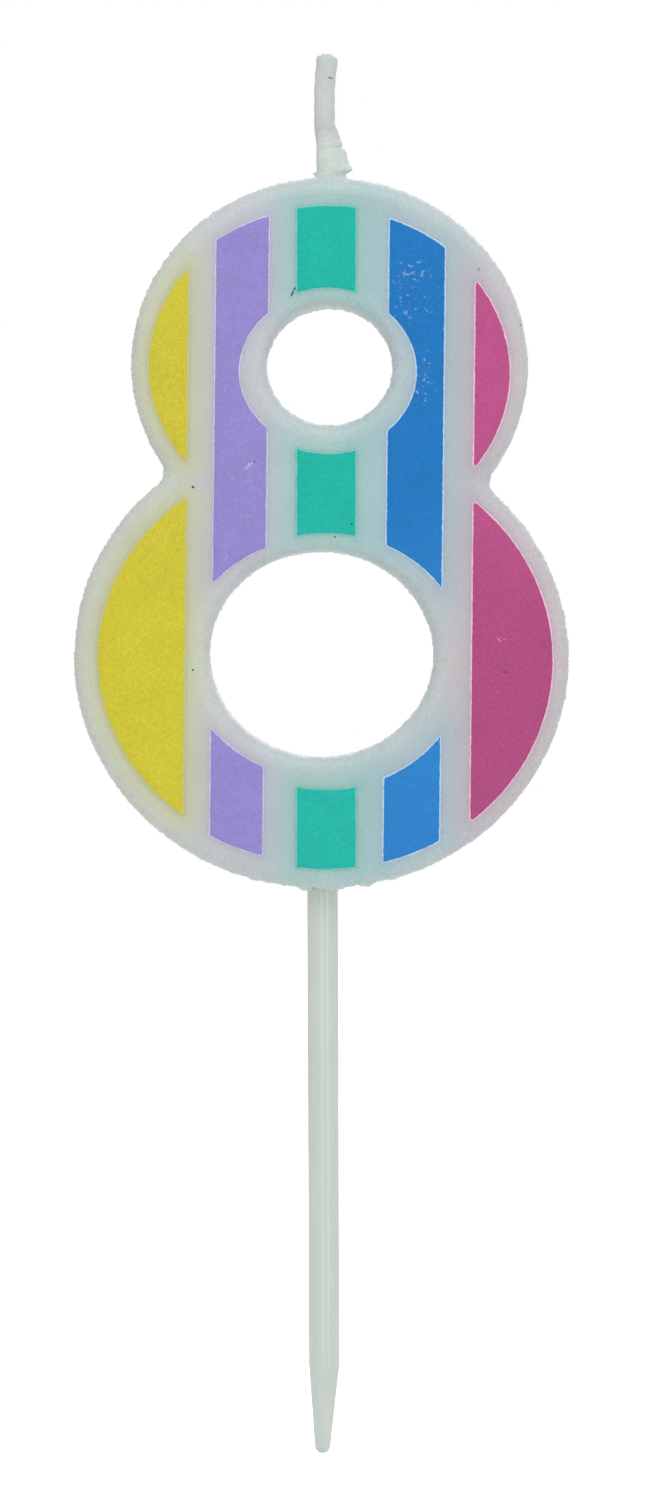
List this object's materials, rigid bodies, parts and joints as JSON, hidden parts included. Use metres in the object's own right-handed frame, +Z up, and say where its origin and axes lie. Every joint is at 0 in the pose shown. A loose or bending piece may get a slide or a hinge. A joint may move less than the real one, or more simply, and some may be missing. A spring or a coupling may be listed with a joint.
{
  "type": "number birthday candle",
  "caption": "Flat cast wax figure-eight candle with printed stripes, a dipped wick on top and a pointed plastic pick that pushes into a cake.",
  "frame": {"origin": "on the pick's axis, at the shoulder where the wax figure sits on the shank", "axes": "+Z up along the pick towards the wick, -Y out of the printed front, +X to the right as seen from the front"},
  "size_m": [0.0494, 0.0081, 0.1405],
  "materials": {
    "wax": "cast paraffin wax, milky and slightly translucent, satin",
    "wick_cotton": "plied cotton cord soaked in wax",
    "wick_wax": "thin lumpy dipped wax, satin",
    "pick_plastic": "milky translucent polypropylene, smooth",
    "white_ink": "thin opaque white print",
    "yellow_ink": "thin satin print",
    "lilac_ink": "thin satin print",
    "teal_ink": "thin satin print",
    "blue_ink": "thin satin print",
    "pink_ink": "thin satin print"
  },
  "bodies": {
    "pick": {"pick": "pick_plastic"},
    "candle": {"wax_body": "wax", "wick_core": "wick_cotton", "wick_wax_coat": "wick_wax", "wick_wax_collar": "wick_wax", "print_white_base": "white_ink", "print_yellow_lower": "yellow_ink", "print_yellow_upper": "yellow_ink", "print_lilac_lower": "lilac_ink", "print_lilac_upper": "lilac_ink", "print_teal_lower": "teal_ink", "print_teal_middle": "teal_ink", "print_teal_upper": "teal_ink", "print_blue_lower": "blue_ink", "print_blue_upper": "blue_ink", "print_pink_lower": "pink_ink", "print_pink_upper": "pink_ink"}
  },
  "joints": [
    {"name": "figure_lift", "type": "slide", "parent": "pick", "child": "candle", "axis": [0, 0, 1], "range_m": [0, 0.012]}
  ]
}
